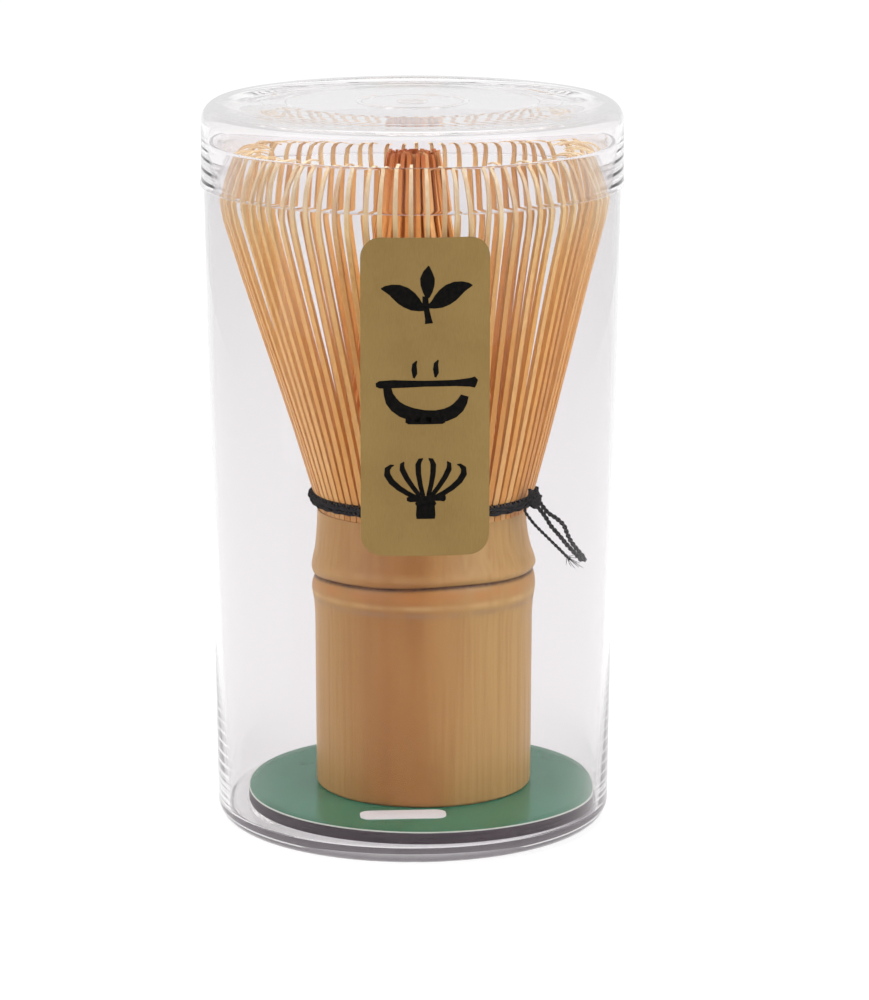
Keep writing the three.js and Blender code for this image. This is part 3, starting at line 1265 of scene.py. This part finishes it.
@dataclass
class Culm:
    """The handle: a length of bamboo with one node in it, its bore open below and its wall split above."""

    steps: int = 128
    radius: float = 0.018
    bore: float = 0.0126
    chamber: float = 0.0133
    septum_bottom: float = 0.0374
    septum_top: float = 0.0414
    groove: float = 0.0413
    ridge: float = 0.0392
    top: float = 0.0529
    top_radius: float = 0.01724
    septum_middle: float = 0.0115
    profile: Sequence[Ring] = (
        (0.0, 0.0215), (0.0, 0.0345), (0.00014, 0.0370), (0.00040, 0.0384), (0.00052, 0.0392), (0.00042, 0.0402),
        (0.00018, 0.0409), (-0.00012, 0.0413), (0.00028, 0.0418), (0.00050, 0.0425), (0.00054, 0.0432),
        (0.00036, 0.0444), (-0.00010, 0.0461), (-0.00046, 0.0482), (-0.00068, 0.0504),
    )  # how far the skin stands out from the radius, and where

    def build(self) -> None:
        """Turns the culm, waves its groove and dresses it."""
        axis = middle("bamboo_culm")
        rings = [
            (self.septum_middle, self.septum_bottom),
            (self.bore, self.septum_bottom),
            (self.bore, axis.z),
            (self.radius, axis.z),
            *((self.radius + swell, height) for swell, height in self.profile),
            (self.top_radius, self.top),
            (self.chamber, self.top),
            (self.chamber, self.septum_top),
            (self.septum_middle, self.septum_top),
        ]
        roundings = [((self.radius, axis.z), 0.0006, 4), ((self.bore, axis.z), 0.0004, 3)]
        culm = turn("culm", axis, rings, self.steps, roundings)

        along = culm.data.attributes.new("along", "FLOAT", "POINT")
        along.data.foreach_set("value", [vertex.co.z for vertex in culm.data.vertices])

        def grown(place: Vector) -> Vector:
            """Tilts and waves the node, leans the neck a little, and makes the section a little out of round."""
            angle = math.atan2(place.y - axis.y, place.x - axis.x)
            near = math.exp(-(((place.z - self.groove) / 0.0022) ** 2))
            rise = 0.0007 + 0.00039 * math.cos(angle) - 0.00057 * math.sin(angle) + 0.0001 * math.sin(5 * angle + 1.9)
            swell = 1 + 0.0035 * math.cos(2 * angle - 0.5) + 0.002 * math.cos(3 * angle + 1.1)
            aside = -0.0003 * smoothstep(place.z, 0.044, 0.050)
            x, y = (place.x - axis.x) * swell, (place.y - axis.y) * swell
            return Vector((axis.x + x + aside, axis.y + y, place.z + near * rise))

        reshape(culm, grown)
        smooth(culm, 40)
        skin = BambooSkin(axis, self.groove, self.ridge).material()
        dress(culm, skin, Body.WHISK, Slot.BAMBOO, "bamboo_culm")


@dataclass
class Tines:
    """The tines: an outer row that flares out and curls in at the tips, and an inner row that leans together."""

    seed: int = 11
    staves: int = 16
    per_stave: int = 5
    lean: Vector = field(default_factory=lambda: Vector((-0.0016, -0.00125, 0)))
    lean_from: float = 0.056
    lean_to: float = 0.106
    root: float = 0.0529
    top: float = 0.1125
    outer_root: float = 0.0167
    inner_root: float = 0.0144
    layer: float = 0.0009
    curl_from: float = 0.104
    differ_from: float = 0.054
    hook: float = 0.11
    scatter: dict[Row, Triple] = field(
        default_factory=lambda: {Row.OUTER: (0.00022, 0.00022, 0.0003), Row.INNER: (0.0003, 0.00025, 0.0003)}
    )  # how far tips stray sideways, outwards and upwards

    def outer(self) -> Piece:
        """Makes one outer tine, from its root in the culm to its curled tip.

        Returns:
            The tine, on the +X side of the axis.
        """
        reaches = [
            Reach(0.0003, 0, 1, 0.00118, 0.00112),
            Reach(0.0020, 33, 3, 0.00114, 0.0010),
            Reach(0.0024, -17.2, 3, 0.00108, 0.0009),
            Reach(0.0464, 0, 5, 0.00078, 0.00062),
            Reach(0.0086, -42, 5, 0.00062, 0.00042),
            Reach(0.0062, -92, 6, 0.00042, 0.0002),
        ]
        return Strip(self.outer_root, self.root, 0.00118, 0.00115, reaches).build("outer_tine")

    def inner(self) -> Piece:
        """Makes one inner tine.

        Returns:
            The tine, on the +X side of the axis.
        """
        reaches = [
            Reach(0.0003, 0, 1, 0.00095, 0.0009),
            Reach(0.005, -11.8, 3, 0.0009, 0.0008),
            Reach(0.048, 0, 5, 0.00074, 0.00055),
            Reach(0.0065, 6, 2, 0.00066, 0.0004),
        ]
        return Strip(self.inner_root, self.root, 0.00095, 0.00095, reaches).build("inner_tine")

    def planted(self, tine: Piece, row: Row, index: int, chance: random.Random) -> Piece:
        """Copies a tine to its place in the row, a little different from its neighbours.

        Args:
            tine: The tine to copy.
            row: The row that it stands in.
            index: Its number in the row.
            chance: Source of the differences.

        Returns:
            The planted tine.
        """
        axis = middle("bamboo_culm")
        count = self.staves * self.per_stave
        first = -(self.per_stave - 1) / 2 if row is Row.OUTER else 0.5
        angle = 2 * math.pi * (index + first) / count
        copy = copy_of(tine, f"{row.value}_tine_{index}")
        sway, out, up = (chance.gauss(0, stray) for stray in self.scatter[row])
        if row is Row.INNER:
            out += (index % 3 - 1) * self.layer
        hook = chance.gauss(0, self.hook)
        turned = Matrix.Rotation(angle, 3, "Z")

        def grown(place: Vector) -> Vector:
            """Moves a point of the tine to its place in the row."""
            share = smoothstep(place.z, self.differ_from, self.lean_to)
            curl = max(0.0, place.z - self.curl_from) if row is Row.OUTER else 0.0
            own = Vector((place.x + out * share + hook * curl, place.y + sway * share, place.z + up * share))
            lean = smoothstep(place.z, self.lean_from, self.lean_to)
            return turned @ own + Vector((axis.x, axis.y, 0)) + self.lean * lean

        reshape(copy, grown)
        tone = copy.data.attributes.new("tone", "FLOAT", "POINT")
        tone.data.foreach_set("value", [chance.random()] * len(copy.data.vertices))
        return copy

    def row(self, row: Row, finish: SplitBamboo, slot: Slot) -> None:
        """Plants one row, five tines to each stave, and dresses it.

        Args:
            row: The row.
            finish: Its finish.
            slot: The record's slot for its finish.
        """
        chance = random.Random(self.seed + len(row.value) * (row is Row.INNER))
        tine = self.outer() if row is Row.OUTER else self.inner()
        material = finish.material()
        for stave in range(self.staves):
            numbers = range(stave * self.per_stave, (stave + 1) * self.per_stave)
            planted = [self.planted(tine, row, index, chance) for index in numbers]
            piece = join(f"{row.value}_stave_{stave + 1:02d}", planted)
            smooth(piece, 35)
            dress(piece, material, Body.WHISK, slot, f"{row.value}_tines_{stave + 1:02d}")
        bpy.data.objects.remove(tine)

    def build(self) -> None:
        """Makes and dresses both rows."""
        outer = [
            (0.0, (0.66, 0.30, 0.075, 1)), (0.1, (0.78, 0.37, 0.090, 1)), (0.5, (0.88, 0.46, 0.125, 1)),
            (0.74, (0.88, 0.52, 0.18, 1)), (0.84, (0.86, 0.63, 0.31, 1)), (0.92, (0.84, 0.71, 0.46, 1)),
            (1.0, (0.86, 0.76, 0.52, 1)),
        ]
        inner = [
            (0.0, (0.70, 0.30, 0.085, 1)), (0.5, (0.85, 0.38, 0.105, 1)), (0.82, (0.86, 0.38, 0.105, 1)),
            (0.93, (0.56, 0.155, 0.038, 1)), (1.0, (0.38, 0.075, 0.020, 1)),
        ]
        self.row(Row.OUTER, SplitBamboo("split_bamboo", outer, self.root, self.top), Slot.TINES)
        self.row(Row.INNER, SplitBamboo("split_bamboo_core", inner, self.root, self.top), Slot.INNER_TINES)


@dataclass
class Binding:
    """The black thread: two turns outside the tines, the lacing between the rows, a knot and two loose ends."""

    radius: float = 0.00052
    lacing_radius: float = 0.0003
    knot_radius: float = 0.0005
    cut_radius: float = 0.0004
    loop_radius: float = 0.00042
    fluff_radius: float = 0.00006
    knot_size: float = 0.00042
    knot_turn: float = 58.0  # degrees
    knot_steps: int = 72
    fluff_count: int = 14
    seed: int = 5
    outer_turns: Sequence[tuple[str, str, float, float]] = (
        ("lower_turn", "thread_turn_lower", 0.01825, 0.05456),
        ("upper_turn", "thread_turn_upper", 0.01858, 0.05532),
    )
    loop_points: Sequence[Triple] = (  # in millimetres, as the next two
        (18.9, -9.8, 56.3), (19.4, -9.95, 56.5), (20.5, -10.15, 55.0), (21.4, -10.4, 53.9), (22.8, -10.6, 52.9),
        (23.9, -10.85, 51.8), (24.45, -11, 50.4), (25.1, -11.2, 49), (26.2, -11.45, 47.5), (27.05, -11.65, 46.35),
        (27.1, -11.7, 45.85), (26.7, -11.65, 45.9), (26.2, -11.5, 46.5), (24.6, -11.2, 48.3), (23.25, -10.9, 50.05),
        (21.9, -10.6, 51.65), (21.1, -10.35, 53), (20.1, -10.1, 54.4), (18.9, -9.9, 55.7),
    )
    tail_points: Sequence[Triple] = (
        (18.2, -10.2, 55.6), (17.6, -10.8, 54.5), (18.4, -11, 53.1), (19.4, -11.25, 51.85), (21, -11.55, 50.2),
        (22.25, -11.8, 48.9), (23.5, -12.1, 47.6), (24.8, -12.3, 46.2),
    )
    cut_end_points: Sequence[Sequence[Triple]] = (
        ((18.9, -9.9, 56), (18.6, -10.15, 56.9), (18.4, -10.3, 57.9)),
        ((19, -9.8, 56), (19.3, -9.9, 57.1), (19.7, -9.95, 58.2)),
    )

    def drawn(self, points: Sequence[Triple], step: float) -> list[Vector]:
        """Draws a smooth line through points in millimetres, at a step in metres."""
        return curve_through([Vector(point) * MM for point in points], step)

    def ring(self, radius: float, height: float, waves: int, ripple: float, rise: float) -> list[Vector]:
        """Gives the route of one turn of thread, which dips between the tines.

        Args:
            radius: Its mean radius.
            height: Its mean height.
            waves: Number of dips in the turn.
            ripple: How far it moves in and out.
            rise: How far it moves up and down.

        Returns:
            The points of the route.
        """
        axis = middle("bamboo_culm")
        count = 16 * max(waves, 30)
        route = []
        for i in range(count):
            angle = 2 * math.pi * i / count
            out = radius + ripple * math.cos(waves * angle)
            up = height - rise * math.cos(waves * angle) + 0.00012 * math.sin(3 * angle + 0.7)
            route.append(Vector((axis.x + out * math.cos(angle), axis.y + out * math.sin(angle), up)))
        return route

    def turns(self) -> list[tuple[Piece, str]]:
        """Lays the two outer turns and the lacing that weaves between the rows.

        Returns:
            Each piece, with the CAD node that it stands for.
        """
        pieces = []
        for name, node, radius, height in self.outer_turns:
            route = self.ring(radius, height, 40, 0.00008, 0.00006)
            pieces.append((Yarn(self.radius).lay(name, route, closed=True), node))
        wave = self.ring(0.01795, 0.0561, 80, 0.0005, 0.00048)
        lacing = Yarn(self.lacing_radius).lay("lacing", wave, closed=True)
        inside = Yarn(self.radius).lay("inner_turn", self.ring(0.0157, 0.0564, 40, 0.00012, 0.0002), closed=True)
        pieces.append((join("inner_lacing", [inside, lacing]), "thread_turn_inner"))
        return pieces

    def knot(self) -> Piece:
        """Ties the knot.

        Returns:
            The knot's mesh object.
        """
        low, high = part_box("thread_knot")
        centre = (low + high) / 2
        turned = Matrix.Rotation(math.radians(self.knot_turn), 3, "Z")
        route = []
        for i in range(self.knot_steps):
            t = 2 * math.pi * i / self.knot_steps
            bow = Vector((math.sin(t) + 2 * math.sin(2 * t), -1.4 * math.sin(3 * t), math.cos(t) - 2 * math.cos(2 * t)))
            route.append(centre + turned @ (bow * self.knot_size))
        strands = [Yarn(self.knot_radius).lay("knot", route, closed=True)]
        for points in self.cut_end_points:
            strands.append(Yarn(self.cut_radius).lay("cut_end", self.drawn(points, 0.00025)))
        return join("knot", strands)

    def ends(self) -> tuple[Piece, Piece]:
        """Lays the doubled end and the single, frayed end.

        Returns:
            The doubled end and the single one.
        """
        doubled = Yarn(self.loop_radius).lay("doubled_end", self.drawn(self.loop_points, 0.00028))
        tail = self.drawn(self.tail_points, 0.00028)
        strands = [Yarn(self.lacing_radius).lay("single_end", tail)]
        chance = random.Random(self.seed)
        way = (tail[-1] - tail[-8]).normalized()
        for i in range(self.fluff_count):
            aside = Vector((chance.gauss(0, 0.3), chance.gauss(0, 0.2), chance.gauss(0, 0.3)))
            start = tail[-3] + aside * 0.0003
            tip = start + (way + aside) * chance.uniform(0.0011, 0.0022)
            bend = (start + tip) / 2 + Vector((0, 0, -0.0001))
            fibre = curve_through([start, bend, tip], 0.0003)
            strands.append(Yarn(self.fluff_radius, plies=1).lay(f"fluff_{i}", fibre))
        return doubled, join("single_end", strands)

    def build(self) -> None:
        """Makes and dresses all the thread."""
        cotton = CottonThread().material()
        pieces = [*self.turns(), (self.knot(), "thread_knot"), *zip(self.ends(), ("thread_loop", "thread_tail"))]
        for piece, node in pieces:
            dress(piece, cotton, Body.WHISK, Slot.THREAD, node)


# ---------------------------------------------------------------- the studio


@dataclass
class Studio:
    """A white table, a bright surround that is darker on the viewer's side, soft lamps and the camera."""

    camera_place: Vector = field(default_factory=lambda: Vector((-0.0458, -0.7489, 0.2168)))
    camera_tilt: float = 77.73
    camera_turn: float = -3.775
    lens: float = 166.7
    sensor: float = 36
    aim: Vector = field(default_factory=lambda: Vector((0, 0, 0.06)))
    table_radius: float = 9
    table_edge: float = 0.1
    table_top: float = -0.00002
    table_foot: float = -0.02
    table_rounding: float = 0.01
    bounces: int = 96
    clear_bounces: int = 32

    def camera(self) -> None:
        """Sets the camera up."""
        data = bpy.data.cameras.new("camera")
        data.lens = self.lens
        data.sensor_width = self.sensor
        data.clip_start, data.clip_end = 0.05, 20
        camera = bpy.data.objects.new("camera", data)
        camera.location = self.camera_place
        camera.rotation_euler = (math.radians(self.camera_tilt), 0, math.radians(self.camera_turn))
        bpy.context.collection.objects.link(camera)
        bpy.context.scene.camera = camera

    def table(self) -> None:
        """Makes the table top, a wide disc with a soft edge."""
        inner, outer = self.table_radius - self.table_edge, self.table_radius
        rim = (outer, self.table_top)
        rings = [(inner, self.table_foot), (outer, self.table_foot), rim, (inner, self.table_top)]
        top = turn("table_top", Vector((0, 0, 0)), rings, 96, [(rim, self.table_rounding, 3)])
        top.data.materials.append(WhiteTable().material())

    def surround(self) -> None:
        """Lights the room: white all round, apart from a darker patch on the viewer's side."""
        world = bpy.data.worlds.new("surround")
        bpy.context.scene.world = world
        graph = Graph(world)
        direction = graph.add("SeparateXYZ", {0: graph.add("TexCoord").outputs["Generated"]})
        strength = graph.spread(direction.outputs["Y"], (-0.92, -0.55), (0.25, 1.0))
        light = graph.add("Background", {"Strength": strength})
        plain = graph.add("Background", {"Strength": 1.0})
        seen = graph.add("LightPath").outputs["Is Camera Ray"]
        mixed = graph.add("MixShader", {0: seen, 1: light.outputs[0], 2: plain.outputs[0]})
        graph.add("OutputWorld", {0: mixed.outputs[0]})

    def lamp(self, name: str, place: Vector, size: tuple[float, float], power: float) -> None:
        """Hangs one soft lamp that faces the object.

        Args:
            name: Its name.
            place: Its place.
            size: Its width and height.
            power: Its power in watts.
        """
        data = bpy.data.lights.new(name, "AREA")
        data.shape = "RECTANGLE"
        data.size, data.size_y = size
        data.energy = power
        lamp = bpy.data.objects.new(name, data)
        lamp.location = place
        lamp.rotation_mode = "QUATERNION"
        lamp.rotation_quaternion = (self.aim - place).to_track_quat("-Z", "Y")
        bpy.context.collection.objects.link(lamp)

    def build(self) -> None:
        """Sets the whole studio up."""
        self.camera()
        self.table()
        self.surround()
        self.lamp("right_lamp", Vector((0.85, -0.75, 0.75)), (0.9, 1.2), 8.5)
        self.lamp("left_lamp", Vector((-0.95, -0.45, 0.55)), (0.8, 1.2), 6.5)
        self.lamp("top_lamp", Vector((0.0, 0.15, 1.1)), (1.3, 1.0), 5.5)
        scene = bpy.context.scene
        scene.view_settings.view_transform = "Standard"
        for kind in ("max_bounces", "glossy_bounces", "transmission_bounces"):
            setattr(scene.cycles, kind, self.bounces)
        scene.cycles.transparent_max_bounces = self.clear_bounces
        log.info("studio is set up")


def main() -> None:
    """Builds the studio, then the object from its case inwards."""
    logging.basicConfig(level=logging.INFO, format="%(message)s")
    case = StorageCase()
    for assembly in (Studio(), case, Label(case), FloorCard(), Culm(), Tines(), Binding()):
        assembly.build()


if __name__ == "__main__":
    main()
